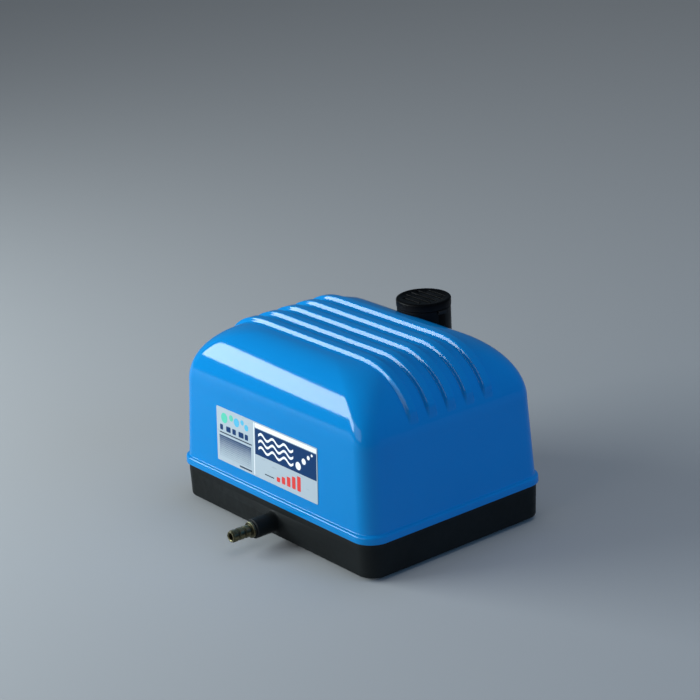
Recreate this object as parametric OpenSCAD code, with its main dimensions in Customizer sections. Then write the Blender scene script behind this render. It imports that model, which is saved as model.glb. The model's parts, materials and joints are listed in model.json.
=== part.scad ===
// Twin-arm diaphragm air pump for ponds: a ribbed cover over a black base tray, with an intake
// filter tower at the rear and a hose barb at the front. +Z is up and the front faces -Y.
// The origin is under the middle of the whole pump, on the surface that its feet stand on.

/* [Housing] */
// Width of the cover's wall at the parting line
cover_w = 222.6; // [218:0.1:228]
// Depth of the cover's wall at the parting line
cover_d = 162; // [160:0.5:165]
// Height of the base tray
base_h = 26.3; // [25:0.1:28]
// Height of the cover's smooth top above the base's underside
top_z = 136; // [134:0.5:140]
// Draft of the cover's walls, in degrees
draft = 2.83; // [2:0.01:3.2]
// Corner radius of the housing in plan
corner_r = 14; // [13:0.5:15]
// How far the cover's bottom bead stands out of its wall
bead_out = 2.3; // [2.1:0.1:3.5]
// Height of the cover's bottom bead
bead_h = 7; // [6:0.5:8]
// Thickness of the cover's wall
cover_t = 3; // [2.5:0.1:3.2]
// Thickness of the base tray's wall and floor
base_t = 3; // [2.5:0.1:3.2]

/* [Shoulders] */
// Height of the rounded shoulders
shoulder_h = 46; // [40:1:50]
// How far the shoulders reach in from the left and right
shoulder_x = 50; // [44:1:56]
// How far the front shoulder reaches back
shoulder_front = 34; // [30:1:38]
// How far the rear shoulder reaches forward
shoulder_rear = 36; // [34:1:44]
// How much the corner radius grows from the walls to the top
corner_grow = 12; // [6:1:16]

/* [Ribs] */
// Number of ribs over the top
rib_count = 5; // [3:1:5]
// Distance between ribs
rib_pitch = 17; // [16:0.1:17]
// Depth position of the middle rib
rib_mid_y = 1; // [-2:0.5:2]
// Half of a rib's width
rib_half = 4.8; // [4.6:0.1:6]
// Width of the flank on each side of a rib
rib_flank = 2.1; // [2:0.1:4]
// Height of a rib
rib_h = 3; // [1.5:0.1:3.2]
// Height at which the ribs die out on the side walls
rib_end_z = 101; // [98:1:108]

/* [Filter tower] */
// Sideways position of the tower's axis
tower_x = -1.7; // [-3:0.1:3]
// Depth position of the tower's axis
tower_y = 70; // [69:0.5:71]
// Radius of the tower's wall
tower_r = 20; // [19.8:0.1:20.2]
// Height of the tower's closed lower end
tower_foot_z = 80; // [79:1:82]
// Height of the top of the filter cap
cap_top_z = 143; // [142:0.1:144]
// Radius of the filter cap
cap_r = 20.4; // [20.3:0.1:20.7]
// Height of the filter cap
cap_h = 6; // [5.5:0.1:6.5]

/* [Outlet and inlet] */
// Sideways position of the outlet
outlet_x = 2; // [0:0.5:4]
// Height of the outlet's axis
outlet_z = 11.5; // [11:0.5:12]
// Radius of the outlet boss on the tray
boss_r = 7.25; // [7:0.05:7.5]
// Depth position of the outlet boss's front face
boss_front = -100; // [-101:0.5:-99]
// Outside radius of the hose barb
barb_r = 4.5; // [4.4:0.1:4.8]
// Radius of the air way through the barb
air_r = 2.6; // [2.2:0.1:2.8]
// Depth position of the barb's tip
barb_tip = -119.5; // [-120:0.5:-119]
// Sideways position of the cable gland
gland_x = -70; // [-74:1:-60]
// Height of the cable gland's axis
gland_z = 11.5; // [11:0.1:11.8]
// Radius of the cable gland's bore
gland_bore_r = 3.5; // [3:0.1:3.6]

/* [Armature] */
// Half of the distance between the two arms' pivots
pivot_x = 32.5; // [32:0.1:33]
// Height of the pivots
pivot_z = 46; // [45:0.5:47]
// Radius of the pivot pins
pin_r = 2; // [1.8:0.1:2.2]
// Radial clearance of an arm on its pin
pin_clear = 0.06; // [0.03:0.01:0.09]
// Height of the diaphragms' axis
head_z = 74; // [73:0.5:75]
// Height of the magnets' middle
magnet_z = 92; // [91:0.5:93]

/* [Hidden] */
$fn = 64;

// How far a cut runs past the surface that it opens, and a length that cuts right through a wall
over = 1;
through = 80;

// The feet lift the tray, and the whole pump is centred over the origin.
foot_h = 2.5;
gland_tip = 92;
body_y = -(barb_tip + gland_tip) / 2;

// Cover
slope = tan(draft);
shoulder_z = top_z - shoulder_h;
arc_steps = 12;
side_steps = 48;
row_steps = 11;
inner_row_steps = 6;
cover_post = [101.9, 71.9];
cover_post_r = 4.5;
cover_post_top = 58;
post_cap = 3;
screw_r = 2;
rib_fade_h = 10;
bead_soft = 0.6;
bead_roll = 2;

// Base tray
base_w = cover_w + 0.6;
base_d = cover_d + 0.6;
ledge_z = 19;
ledge_t = 7;
groove = [3.2, 2, 2];
flange_t = 2.6;
flange_h = 4;
flange_ramp = 2;
tray_post_r = 6.8;
screw_pocket_r = 4.2;
screw_pocket_h = 6;
foot_at = [93, 59];
foot_r = 9;
foot_plug_r = 3;
foot_lip_r = 4.2;
foot_lip_h = 2;
isolator_at = [84, 48];
isolator_z = 16;
isolator_post_r = 6;
isolator_stem_r = 2.5;
isolator_stem_h = 5;
isolator_r = 7;
isolator_waist_r = 5;
isolator_end_h = 5;
isolator_neck_r = 3;

// Outlet and inlet
seal_t = 0.8;
stem_end = -70;
tube_r = 5.6;
gland_stem = 12;
gland_stem_r = 6;
tower_gap = 0.4;

// Chassis
chassis_z = 32;
chassis_t = 2;
deck_z = chassis_z + chassis_t;
hose_at = [69, 12];
hose_hole_r = 7;
hose_gap = 0.2;

// Air chamber
chamber_x = 78;
chamber_y = [-38, 30];
chamber_top = 24;
chamber_t = 2.5;
lid_z = 25;
lid_top = 28;
spigot_r = 4;

// Armature and pump heads, measured out from the pump's middle on the right
pole_x = 22;
magnet_x = 25.5;
arm_x = pivot_x - 2;
arm_t = 4;
plate_x = 41;
diaphragm_x = 43.1;
diaphragm_t = 1.8;
outer_plate_x = 45;
outer_plate_t = 2;
outer_plate_r = 11;
ring_x = 39.5;
box_x = diaphragm_x + diaphragm_t;
wall_x = 55;
box_end = 61;
head_x = 62;
head_end = 76;
head_half = 28;
port = [8, 70];
flap_top = 77;
flap_size = [1.2, 11, 15];
screw_half = 24;
head_screw_r = 1.5;
port_r = 3.5;
pocket_half = 20;
pocket_w = 19;
pocket_ys = [-20.5, 1.5];
ring_hole_r = 19.5;

module place() {
    translate([0, body_y, foot_h]) children();
}

// Mirrors its children to the left side when side is -1.
module on_side(side) {
    if (side < 0) mirror([1, 0, 0]) children();
    else children();
}

// Draws its children at the four corners of a rectangle with these half sizes.
module at_corners(half) {
    for (x = [-1, 1])
        for (y = [-1, 1])
            translate([x * half[0], y * half[1], 0]) children();
}

module rounded_plate(w, d, h, r) {
    linear_extrude(h) {
        square([w - 2 * r, d], center = true);
        square([w, d - 2 * r], center = true);
        at_corners([w / 2 - r, d / 2 - r]) circle(r);
    }
}

module block(low, high) {
    translate(low) cube(high - low);
}

module rod_x(x0, x1, r) {
    translate([x0, 0, 0]) rotate([0, 90, 0]) cylinder(h = x1 - x0, r = r);
}

module rod_y(y0, y1, r) {
    translate([0, y0, 0]) rotate([-90, 0, 0]) cylinder(h = y1 - y0, r = r);
}

module ring_y(y0, y1, r_out, r_in) {
    difference() {
        rod_y(y0, y1, r_out);
        rod_y(y0 - 1, y1 + 1, r_in);
    }
}

module tube_z(z0, z1, r_out, r_in) {
    translate([0, 0, z0]) difference() {
        cylinder(h = z1 - z0, r = r_out);
        translate([0, 0, -1]) cylinder(h = z1 - z0 + 2, r = r_in);
    }
}

// ---- Cover ----

// Depth positions of the ribs, front to rear
rib_ys = [for (i = [0 : rib_count - 1]) rib_mid_y + (i - (rib_count - 1) / 2) * rib_pitch];

// A smooth rise from 0 at t = 0 to 1 at t = 1, level outside
function ease(t) = let (s = min(max(t, 0), 1)) s * s * (3 - 2 * s);

// Share of the full rib height across the ribs, from 0 in the valleys to 1 on a crest
function crest(y) = max([for (c = rib_ys) ease((rib_half - abs(y - c)) / rib_flank)]);

// Share of the full rib height at a height on the side wall
function fade(z) = ease((z - rib_end_z) / rib_fade_h);

// One ring's right-hand points from front to rear, each [x, y, direction of its normal in plan]
function right_points(w, front, rear, r) = concat(
    [for (i = [0 : arc_steps]) let (a = -90 + 90 * i / arc_steps)
        [w - r + r * cos(a), front + r + r * sin(a), a]],
    [for (i = [1 : side_steps - 1]) [w, front + r + (rear - front - 2 * r) * i / side_steps, 0]],
    [for (i = [0 : arc_steps]) let (a = 90 * i / arc_steps)
        [w - r + r * cos(a), rear - r + r * sin(a), a]]);

// A closed ring at one height; lift is the rib height there and tilt the surface's lean.
// The ribs also fade round the corners, except where the surface is level.
function ring(w, front, rear, r, z, lift, tilt) = let (
    right = [for (p = right_points(w, front, rear, r))
        let (d = lift * crest(p[1]) * (1 - pow(cos(tilt), 2) * (1 - cos(p[2]))))
        [p[0] + d * cos(tilt) * cos(p[2]), p[1], z + d * sin(tilt)]],
    last = len(right) - 1)
    concat(right, [for (i = [0 : last]) let (p = right[last - i]) [-p[0], p[1], p[2]]]);

// Ring of the drafted wall at height z, set in by inset and out by out
function wall_ring(z, inset, out) = let (k = (z - base_h) * slope + inset - out)
    ring(cover_w / 2 - k, -cover_d / 2 + k, cover_d / 2 - k, corner_r - inset + out, z, 0, 0);

// Ring of the shoulder at angle a, from 0 at the wall to 90 at the top
function shoulder_ring(a, inset, ribs) = let (
    k = (shoulder_z - base_h) * slope + inset,
    in = 1 - cos(a),
    z = shoulder_z + (shoulder_h - inset) * sin(a),
    tilt = atan2(sin(a) / shoulder_h, cos(a) / shoulder_x))
    ring(cover_w / 2 - k - (shoulder_x - inset) * in,
         -cover_d / 2 + k + (shoulder_front - inset) * in,
         cover_d / 2 - k - (shoulder_rear - inset) * in,
         corner_r - inset + corner_grow * in, z, ribs ? rib_h * fade(z) : 0, tilt);

outer_rings = concat(
    [wall_ring(base_h, 0, bead_out - bead_soft), wall_ring(base_h + bead_soft, 0, bead_out),
     wall_ring(base_h + bead_h - bead_roll, 0, bead_out),
     wall_ring(base_h + bead_h - bead_soft, 0, bead_out - bead_roll / 2),
     wall_ring(base_h + bead_h, 0, 0)],
    [for (i = [0 : row_steps]) shoulder_ring(90 * i / row_steps, 0, true)]);
inner_rings = concat(
    [wall_ring(base_h, cover_t + flange_t, 0), wall_ring(base_h + flange_h, cover_t + flange_t, 0),
     wall_ring(base_h + flange_h + flange_ramp, cover_t, 0)],
    [for (i = [0 : inner_row_steps]) shoulder_ring(90 * i / inner_row_steps, cover_t, false)]);

// Triangles between the rings that start at point a and at point b, of n points each
function band(a, b, n) = [for (i = [0 : n - 1]) let (j = (i + 1) % n)
    each [[a + i, b + i, a + j], [a + j, b + i, b + j]]];
// Triangles that close a ring from its right half to its left half
function roof(a, n) = [for (i = [0 : n / 2 - 2])
    each [[a + i, a + n - 1 - i, a + i + 1], [a + i + 1, a + n - 1 - i, a + n - 2 - i]]];
function flipped(faces) = [for (f = faces) [f[2], f[1], f[0]]];

module cover_skin() {
    n = len(outer_rings[0]);
    rows = len(outer_rings);
    inner_rows = len(inner_rings);
    first_inner = rows * n;
    points = concat([for (r = outer_rings) each r], [for (r = inner_rings) each r]);
    faces = concat(
        [for (k = [0 : rows - 2]) each band(k * n, (k + 1) * n, n)],
        roof((rows - 1) * n, n),
        flipped([for (k = [0 : inner_rows - 2])
            each band(first_inner + k * n, first_inner + (k + 1) * n, n)]),
        flipped(roof(first_inner + (inner_rows - 1) * n, n)),
        flipped(band(0, first_inner, n)));
    polyhedron(points = points, faces = faces, convexity = 6);
}

module upper_cover() {
    color([0.06, 0.44, 0.80]) place() difference() {
        union() {
            cover_skin();
            at_corners(cover_post) translate([0, 0, base_h])
                cylinder(h = cover_post_top - base_h, r = cover_post_r);
        }
        translate([tower_x, tower_y, tower_foot_z - tower_gap])
            cylinder(h = through, r = tower_r + tower_gap);
        at_corners(cover_post) translate([0, 0, base_h - over])
            cylinder(h = cover_post_top - base_h - post_cap, r = screw_r);
    }
}

label_x = [-63.7, 55.4];
label_z = [40.7, 82.3];
label_t = 0.4;
label_gap = 0.02;

module front_label() {
    color([0.85, 0.87, 0.88]) place()
        translate([0, -cover_d / 2, base_h]) rotate([-draft, 0, 0])
            block([label_x[0], -label_t - label_gap, label_z[0] - base_h],
                  [label_x[1], -label_gap, label_z[1] - base_h]);
}

// ---- Base ----

module tray_ring(inset, width, z0, z1) {
    translate([0, 0, z0]) difference() {
        rounded_plate(base_w - 2 * inset, base_d - 2 * inset, z1 - z0, corner_r - inset);
        translate([0, 0, -over])
            rounded_plate(base_w - 2 * (inset + width), base_d - 2 * (inset + width),
                          z1 - z0 + 2 * over, corner_r - inset - width);
    }
}

module cover_gasket() {
    color([0.1, 0.1, 0.1]) place() tray_ring(groove[0], groove[1], base_h - groove[2], base_h);
}

module base_tray() {
    color([0.12, 0.13, 0.13]) place() difference() {
        union() {
            rounded_plate(base_w, base_d, base_t, corner_r);
            tray_ring(0, base_t, 0, ledge_z);
            tray_ring(0, ledge_t, ledge_z, base_h);
            at_corners(cover_post) cylinder(h = base_h, r = tray_post_r);
            at_corners(isolator_at) cylinder(h = isolator_z, r = isolator_post_r);
            translate([outlet_x, 0, outlet_z]) rod_y(boss_front, over - base_d / 2, boss_r);
        }
        tray_ring(groove[0], groove[1], base_h - groove[2], base_h + over);
        at_corners(cover_post) translate([0, 0, -over]) cylinder(h = through, r = screw_r);
        at_corners(cover_post) translate([0, 0, -over])
            cylinder(h = screw_pocket_h + over, r = screw_pocket_r);
        at_corners(foot_at) translate([0, 0, -over]) cylinder(h = base_t + 2 * over, r = foot_plug_r);
        at_corners(isolator_at) translate([0, 0, isolator_z - isolator_stem_h - over])
            cylinder(h = isolator_stem_h + 2 * over, r = isolator_stem_r);
        translate([outlet_x, 0, outlet_z]) rod_y(boss_front - over, 2 * base_t - base_d / 2, spigot_r);
        translate([gland_x, 0, gland_z])
            rod_y(base_d / 2 - 2 * base_t, base_d / 2 + 2 * base_t, gland_stem_r);
    }
}

module rubber_feet() {
    color([0.07, 0.07, 0.07]) place() at_corners(foot_at) {
        translate([0, 0, -foot_h]) cylinder(h = foot_h, r = foot_r);
        cylinder(h = base_t, r = foot_plug_r);
        translate([0, 0, base_t]) cylinder(h = foot_lip_h, r = foot_lip_r);
    }
}

module cover_screws() {
    head_r = 4;
    head_h = 3.5;
    shank = 42;
    cross = 5;
    cross_w = 1;
    cross_h = 1.5;
    color([0.7, 0.7, 0.72]) place() at_corners(cover_post) translate([0, 0, screw_pocket_h]) difference() {
        union() {
            translate([0, 0, -head_h]) cylinder(h = head_h, r = head_r);
            cylinder(h = shank, r = screw_r);
        }
        for (a = [0, 90]) rotate([0, 0, a])
            translate([-cross / 2, -cross_w / 2, -head_h - over]) cube([cross, cross_w, cross_h + over]);
    }
}

// ---- Filter tower ----

neck_z = cap_top_z - cap_h - 0.3;
neck_top = neck_z + 3.3;
neck_r = cap_r - 2.1;
tower_floor = 3;
lug = [1.6, 3.5, 2.4];
window_w = 11;
window_h = 3.5;
window_pitch = 6;
window_z = 8;

module at_tower() {
    place() translate([tower_x, tower_y, 0]) children();
}

module filter_tower() {
    color([0.05, 0.05, 0.05]) at_tower() difference() {
        union() {
            translate([0, 0, tower_foot_z]) cylinder(h = neck_z - tower_foot_z, r = tower_r);
            translate([0, 0, neck_z]) cylinder(h = neck_top - neck_z, r = neck_r);
            for (a = [0, 180]) rotate([0, 0, a])
                block([tower_r - over, -lug[1], neck_z - lug[2]], [tower_r + lug[0], lug[1], neck_z]);
        }
        translate([0, 0, tower_foot_z + tower_floor]) cylinder(h = through, r = neck_r - 2);
        for (i = [0 : 2]) translate([0, 0, tower_foot_z + window_z + window_pitch * i])
            block([-window_w, -tower_r - over, 0], [window_w, -tower_r / 2, window_h]);
    }
}

module filter_foam() {
    foam_gap = 0.3;
    color([0.2, 0.22, 0.25]) at_tower() translate([0, 0, tower_foot_z + tower_floor])
        cylinder(h = neck_top - tower_foot_z - tower_floor - over, r = neck_r - 2 - foam_gap);
}

module filter_cap() {
    slot_w = 2;
    slot_pitch = 6;
    slot_circle = 15;
    top_t = 2.4;
    grip = 0.3;
    color([0.04, 0.04, 0.04]) at_tower() translate([0, 0, cap_top_z]) difference() {
        translate([0, 0, -cap_h]) cylinder(h = cap_h, r = cap_r);
        translate([0, 0, -cap_h - over]) cylinder(h = cap_h + over - top_t, r = neck_r + grip);
        for (y = [-2 * slot_pitch : slot_pitch : 2 * slot_pitch])
            let (half = sqrt(pow(slot_circle, 2) - y * y))
            block([-half, y - slot_w / 2, -2 * top_t], [half, y + slot_w / 2, over]);
    }
}

// ---- Outlet and inlet ----

module outlet_nozzle() {
    flange = 2;
    flange_r = 6;
    groove_d = 0.5;
    lead_in = 0.8;
    ridge = 3.8;
    ridge_pitch = 5.2;
    color([0.42, 0.40, 0.22]) place() translate([outlet_x, 0, outlet_z]) difference() {
        union() {
            rod_y(boss_front - seal_t, stem_end, spigot_r);
            rod_y(boss_front - seal_t - flange, boss_front - seal_t, flange_r);
            rod_y(barb_tip, boss_front - flange, barb_r - groove_d);
            for (i = [0 : 2]) translate([0, barb_tip + lead_in + ridge_pitch * i, 0]) rod_y(0, ridge, barb_r);
        }
        rod_y(barb_tip - over, stem_end + over, air_r);
    }
}

module outlet_seal() {
    color([0.08, 0.08, 0.08]) place() translate([outlet_x, 0, outlet_z])
        ring_y(boss_front - seal_t, boss_front, tube_r, spigot_r);
}

module outlet_tube() {
    tube_y = [-75, -43];
    color([0.75, 0.75, 0.7]) place() translate([outlet_x, 0, outlet_z])
        ring_y(tube_y[0], tube_y[1], tube_r, spigot_r);
}

module cable_gland() {
    wall = base_d / 2;
    collar = 3;
    collar_r = 9;
    dome_r = 7.5;
    color([0.1, 0.1, 0.1]) place() translate([gland_x, 0, gland_z]) difference() {
        union() {
            rod_y(wall - gland_stem, wall, gland_stem_r);
            rod_y(wall, wall + collar, collar_r);
            rod_y(wall + collar, gland_tip, dome_r);
        }
        rod_y(wall - gland_stem - over, gland_tip + over, gland_bore_r);
    }
}

module gland_nut() {
    wall = base_d / 2;
    nut_h = 4;
    nut_r = 7.4;
    color([0.12, 0.12, 0.12]) place() translate([gland_x, 0, gland_z]) difference() {
        translate([0, wall - base_t, 0]) rotate([90, 0, 0]) cylinder(h = nut_h, r = nut_r, $fn = 6);
        rod_y(wall - gland_stem, wall, gland_stem_r);
    }
}

// ---- Air chamber ----

// A divider stiffens the chamber's middle, and a gap in it joins the two halves.
module air_chamber() {
    spigot_y = -50;
    divider = 1;
    gap_y = [-20, 10];
    floor_z = base_t + chamber_t;
    color([0.2, 0.2, 0.2]) place() difference() {
        union() {
            block([-chamber_x, chamber_y[0], base_t], [chamber_x, chamber_y[1], chamber_top]);
            translate([outlet_x, 0, outlet_z]) rod_y(spigot_y, chamber_y[0] + over, spigot_r);
        }
        for (side = [-1, 1]) on_side(side)
            block([divider, chamber_y[0] + chamber_t, floor_z],
                  [chamber_x - chamber_t, chamber_y[1] - chamber_t, chamber_top + over]);
        block([-divider - over, gap_y[0], floor_z], [divider + over, gap_y[1], chamber_top + over]);
        translate([outlet_x, 0, outlet_z]) rod_y(spigot_y - over, chamber_y[0] + 2 * chamber_t, air_r);
    }
}

module chamber_plan(z0, z1) {
    block([-chamber_x, chamber_y[0], z0], [chamber_x, chamber_y[1], z1]);
}

module chamber_gasket() {
    color([0.09, 0.09, 0.09]) place() difference() {
        chamber_plan(chamber_top, lid_z);
        block([-chamber_x + chamber_t, chamber_y[0] + chamber_t, chamber_top - over],
              [chamber_x - chamber_t, chamber_y[1] - chamber_t, lid_z + over]);
    }
}

module chamber_lid() {
    spigot_h = 7;
    color([0.22, 0.22, 0.22]) place() difference() {
        union() {
            chamber_plan(lid_z, lid_top);
            for (x = [-1, 1]) translate([x * hose_at[0], hose_at[1], lid_top])
                cylinder(h = spigot_h, r = spigot_r);
        }
        for (x = [-1, 1]) translate([x * hose_at[0], hose_at[1], lid_z - over])
            cylinder(h = lid_top - lid_z + spigot_h + 2 * over, r = air_r);
    }
}

// ---- Chassis ----

module isolators() {
    color([0.1, 0.1, 0.1]) place() at_corners(isolator_at) {
        translate([0, 0, isolator_z - isolator_stem_h]) cylinder(h = isolator_stem_h, r = isolator_stem_r);
        translate([0, 0, isolator_z]) cylinder(h = isolator_end_h, r = isolator_r);
        translate([0, 0, isolator_z]) cylinder(h = chassis_z - isolator_z, r = isolator_waist_r);
        translate([0, 0, chassis_z - isolator_end_h]) cylinder(h = isolator_end_h, r = isolator_r);
        translate([0, 0, chassis_z]) cylinder(h = chassis_t, r = isolator_neck_r);
        translate([0, 0, deck_z]) cylinder(h = 2, r = isolator_waist_r);
    }
}

// The plate carries the magnet and both arms, and an upright at the rear carries the filter tower.
module chassis_plate() {
    plate = [188, 124];
    plate_r = 8;
    upright_x = [-12, 9];
    upright_y = 58;
    shelf_y = 72;
    color([0.65, 0.67, 0.7]) place() difference() {
        union() {
            translate([0, 0, chassis_z]) rounded_plate(plate[0], plate[1], chassis_t, plate_r);
            block([upright_x[0], upright_y, chassis_z], [upright_x[1], upright_y + chassis_t, tower_foot_z]);
            block([upright_x[0], upright_y, tower_foot_z - chassis_t], [upright_x[1], shelf_y, tower_foot_z]);
        }
        at_corners(isolator_at) translate([0, 0, chassis_z - over])
            cylinder(h = chassis_t + 2 * over, r = isolator_neck_r);
        for (x = [-1, 1]) translate([x * hose_at[0], hose_at[1], chassis_z - over])
            cylinder(h = chassis_t + 2 * over, r = hose_hole_r);
    }
}

terminal_pitch = 8;
terminal_at = [-64, 40];

module terminal_block() {
    h = 12;
    half = terminal_pitch / 2;
    color([0.85, 0.85, 0.8]) place() translate([terminal_at[0], terminal_at[1], deck_z]) difference() {
        block([-3 * half, -half, 0], [3 * half, half, h]);
        for (i = [-1 : 1]) translate([i * terminal_pitch, 0, h / 2]) cylinder(h = h / 2 + over, r = half / 2);
    }
}

// A wire through the points, with a slightly larger ball at each bend.
module wire(points, r) {
    last = len(points) - 1;
    for (i = [0 : last - 1]) let (
        d = points[i + 1] - points[i],
        flat = norm([d[0], d[1]]))
        translate(points[i]) rotate([0, atan2(flat, d[2]), atan2(d[1], d[0])])
            cylinder(h = norm(d), r = r);
    for (i = [1 : last - 1]) translate(points[i]) sphere(1.2 * r);
}

// Two leads run from the terminals over the chassis to the rear face of each coil.
module internal_leads() {
    wire_r = 1;
    start_y = terminal_at[1] + terminal_pitch / 2;
    start_z = deck_z + 4;
    near_x = terminal_at[0] + terminal_pitch / 2;
    far_x = terminal_at[0] - terminal_pitch / 2;
    coil_x = 13;
    coil_y = 20.5;
    color([0.75, 0.3, 0.1]) place() {
        wire([[near_x, start_y, start_z], [near_x, start_y + 6, start_z], [-40, start_y + 6, 64],
              [-coil_x, 40, magnet_z], [-coil_x, coil_y, magnet_z]], wire_r);
        wire([[far_x, start_y, start_z], [far_x, start_y + 9, start_z], [-38, start_y + 9, 61],
              [coil_x, 42, magnet_z - 2], [coil_x, coil_y, magnet_z - 2]], wire_r);
    }
}

module sound_foam() {
    low = [-50, -32, 122];
    high = [50, 18, 131];
    color([0.25, 0.26, 0.28]) place() block(low, high);
}

// ---- Electromagnet ----

core_low = 70;
core_high = 114;
core_half = 12;
// Half height of a limb, and half width of the web that joins the limbs
limb_half = 5;
web_half = 5;
yoke_h = 6;
bolt_zs = [core_low + yoke_h / 2, core_high - yoke_h / 2];
bracket_t = 2;
// Each coil sits between two cheeks of this thickness, on a sleeve round its limb
cheek_x = [5.5, 19.5];
cheek_t = 1.5;
cheek_half = [22, 15];
winding_half = [20.5, 14];

module core_stack() {
    color([0.45, 0.45, 0.48]) place() difference() {
        block([-pole_x, -core_half, core_low], [pole_x, core_half, core_high]);
        for (side = [-1, 1]) on_side(side) {
            block([web_half, -core_half - over, core_low + yoke_h],
                  [pole_x + over, core_half + over, magnet_z - limb_half]);
            block([web_half, -core_half - over, magnet_z + limb_half],
                  [pole_x + over, core_half + over, core_high - yoke_h]);
        }
        for (z = bolt_zs) translate([0, 0, z]) rod_y(-through, through, screw_r);
    }
}

module core_bracket() {
    width = 4.8;
    foot_w = 12;
    foot_l = 14;
    color([0.7, 0.7, 0.72]) place() difference() {
        for (a = [0, 180]) rotate([0, 0, a]) {
            block([-width, core_half, deck_z], [width, core_half + bracket_t, core_high]);
            block([-foot_w, core_half, deck_z], [foot_w, core_half + foot_l, deck_z + bracket_t]);
        }
        for (z = bolt_zs) translate([0, 0, z]) rod_y(-through, through, screw_r);
    }
}

module core_bolts() {
    grip = core_half + bracket_t;
    head_h = 2.5;
    head_r = 3.8;
    color([0.75, 0.75, 0.76]) place() for (z = bolt_zs) translate([0, 0, z]) {
        rod_y(-grip, grip, screw_r);
        for (y = [-grip - head_h, grip]) rod_y(y, y + head_h, head_r);
    }
}

// A block round the limb that reaches half[0] sideways and half[1] up and down
module round_limb(x0, x1, half) {
    block([x0, -half[0], magnet_z - half[1]], [x1, half[0], magnet_z + half[1]]);
}

module coil_bobbin(side) {
    color([0.9, 0.88, 0.8]) place() on_side(side) difference() {
        union() {
            for (x = cheek_x) round_limb(x, x + cheek_t, cheek_half);
            round_limb(cheek_x[0] + cheek_t / 2, cheek_x[1] + cheek_t / 2,
                       [core_half + cheek_t, limb_half + cheek_t]);
        }
        round_limb(cheek_x[0] - over, pole_x + over, [core_half, limb_half]);
    }
}

module coil_winding(side) {
    color([0.72, 0.36, 0.14]) place() on_side(side) difference() {
        round_limb(cheek_x[0] + cheek_t, cheek_x[1], winding_half);
        round_limb(cheek_x[0], pole_x, [core_half + cheek_t, limb_half + cheek_t]);
    }
}

// ---- Arms ----

module at_pivot(side) {
    place() on_side(side) translate([pivot_x, 0, pivot_z]) children();
}

eye_r = 5;
magnet_half = 11;

module pivot_bracket(side) {
    cheek_y = [12, 15];
    foot_half = 22;
    foot_z = deck_z - pivot_z;
    color([0.7, 0.72, 0.74]) at_pivot(side) difference() {
        union() {
            for (a = [0, 180]) rotate([0, 0, a]) {
                block([-eye_r, cheek_y[0], foot_z], [eye_r, cheek_y[1], 0]);
                rod_y(cheek_y[0], cheek_y[1], eye_r);
            }
            block([-eye_r, -foot_half, foot_z], [eye_r, foot_half, foot_z + 2]);
        }
        rod_y(-through, through, pin_r);
    }
}

module pivot_pin(side) {
    half = 16;
    color([0.85, 0.85, 0.86]) at_pivot(side) rod_y(-half, half, pin_r);
}

module arm(side) {
    eye_half = 11.5;
    blade_half = 9;
    blade_z = 3;
    color([0.80, 0.80, 0.82]) at_pivot(side) difference() {
        union() {
            rod_y(-eye_half, eye_half, eye_r);
            block([-arm_t / 2, -blade_half, blade_z],
                  [arm_t / 2, blade_half, magnet_z + magnet_half - pivot_z]);
            translate([0, 0, head_z - pivot_z]) rod_x(0, plate_x - pivot_x, eye_r);
        }
        rod_y(-through, through, pin_r + pin_clear);
        translate([0, 0, head_z - pivot_z]) rod_x(-over, through, screw_r);
    }
}

module magnet(side) {
    half = 13;
    color([0.3, 0.3, 0.33]) place() on_side(side)
        block([magnet_x, -half, magnet_z - magnet_half], [arm_x, half, magnet_z + magnet_half]);
}

module at_head(side) {
    place() on_side(side) translate([0, 0, head_z]) children();
}

module diaphragm_plates(side) {
    inner_r = 12;
    gap = 0.1;
    color([0.75, 0.77, 0.8]) at_head(side) difference() {
        union() {
            rod_x(plate_x, diaphragm_x - gap, inner_r);
            rod_x(outer_plate_x, outer_plate_x + outer_plate_t, outer_plate_r);
        }
        rod_x(plate_x - over, through, screw_r);
    }
}

module plate_screw(side) {
    head_h = 2.5;
    head_r = 3.5;
    outer_x = outer_plate_x + outer_plate_t;
    color([0.6, 0.6, 0.62]) at_head(side) {
        rod_x(pivot_x - over, outer_x, screw_r);
        rod_x(outer_x, outer_x + head_h, head_r);
    }
}

// ---- Pump heads ----

module diaphragm(side) {
    color([0.08, 0.08, 0.09]) at_head(side) translate([diaphragm_x, 0, 0]) rotate([0, 90, 0])
        rotate_extrude() polygon([[2.3, 0], [13, 0], [13.8, 2.4], [15.2, 3.2], [16.6, 2.4], [17.4, 0],
            [27, 0], [27, diaphragm_t], [17.8, diaphragm_t], [17.4, 3.6], [15.2, 5], [13, 3.6],
            [12.6, diaphragm_t], [2.3, diaphragm_t]]);
}

module clamp_ring(side) {
    color([0.75, 0.77, 0.8]) at_head(side) difference() {
        block([ring_x, -head_half, -head_half], [diaphragm_x, head_half, head_half]);
        rod_x(ring_x - over, diaphragm_x + over, ring_hole_r);
        for (y = [-1, 1])
            for (z = [-1, 1])
                translate([0, y * screw_half, z * screw_half]) rod_x(ring_x - over, box_x, head_screw_r);
    }
}

module valve_box(side) {
    bowl_r = 18;
    color([0.16, 0.17, 0.18]) place() on_side(side) difference() {
        union() {
            block([box_x, -head_half, head_z - head_half], [box_end, head_half, head_z + head_half]);
            block([box_x + 2, -18, deck_z], [box_end, 18, head_z]);
        }
        difference() {
            translate([0, 0, head_z]) rod_x(box_x - over, wall_x, bowl_r);
            block([wall_x - 2, -14, flap_top + 0.4], [wall_x + over, 0, flap_top + 3]);
        }
        for (y = [-1, 1]) translate([0, y * port[0], port[1]]) rod_x(wall_x - over, box_end + over, port_r);
        for (y = [-1, 1])
            for (z = [-1, 1])
                translate([0, y * screw_half, head_z + z * screw_half])
                    rod_x(box_x - over, box_end + over, head_screw_r);
    }
}

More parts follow.
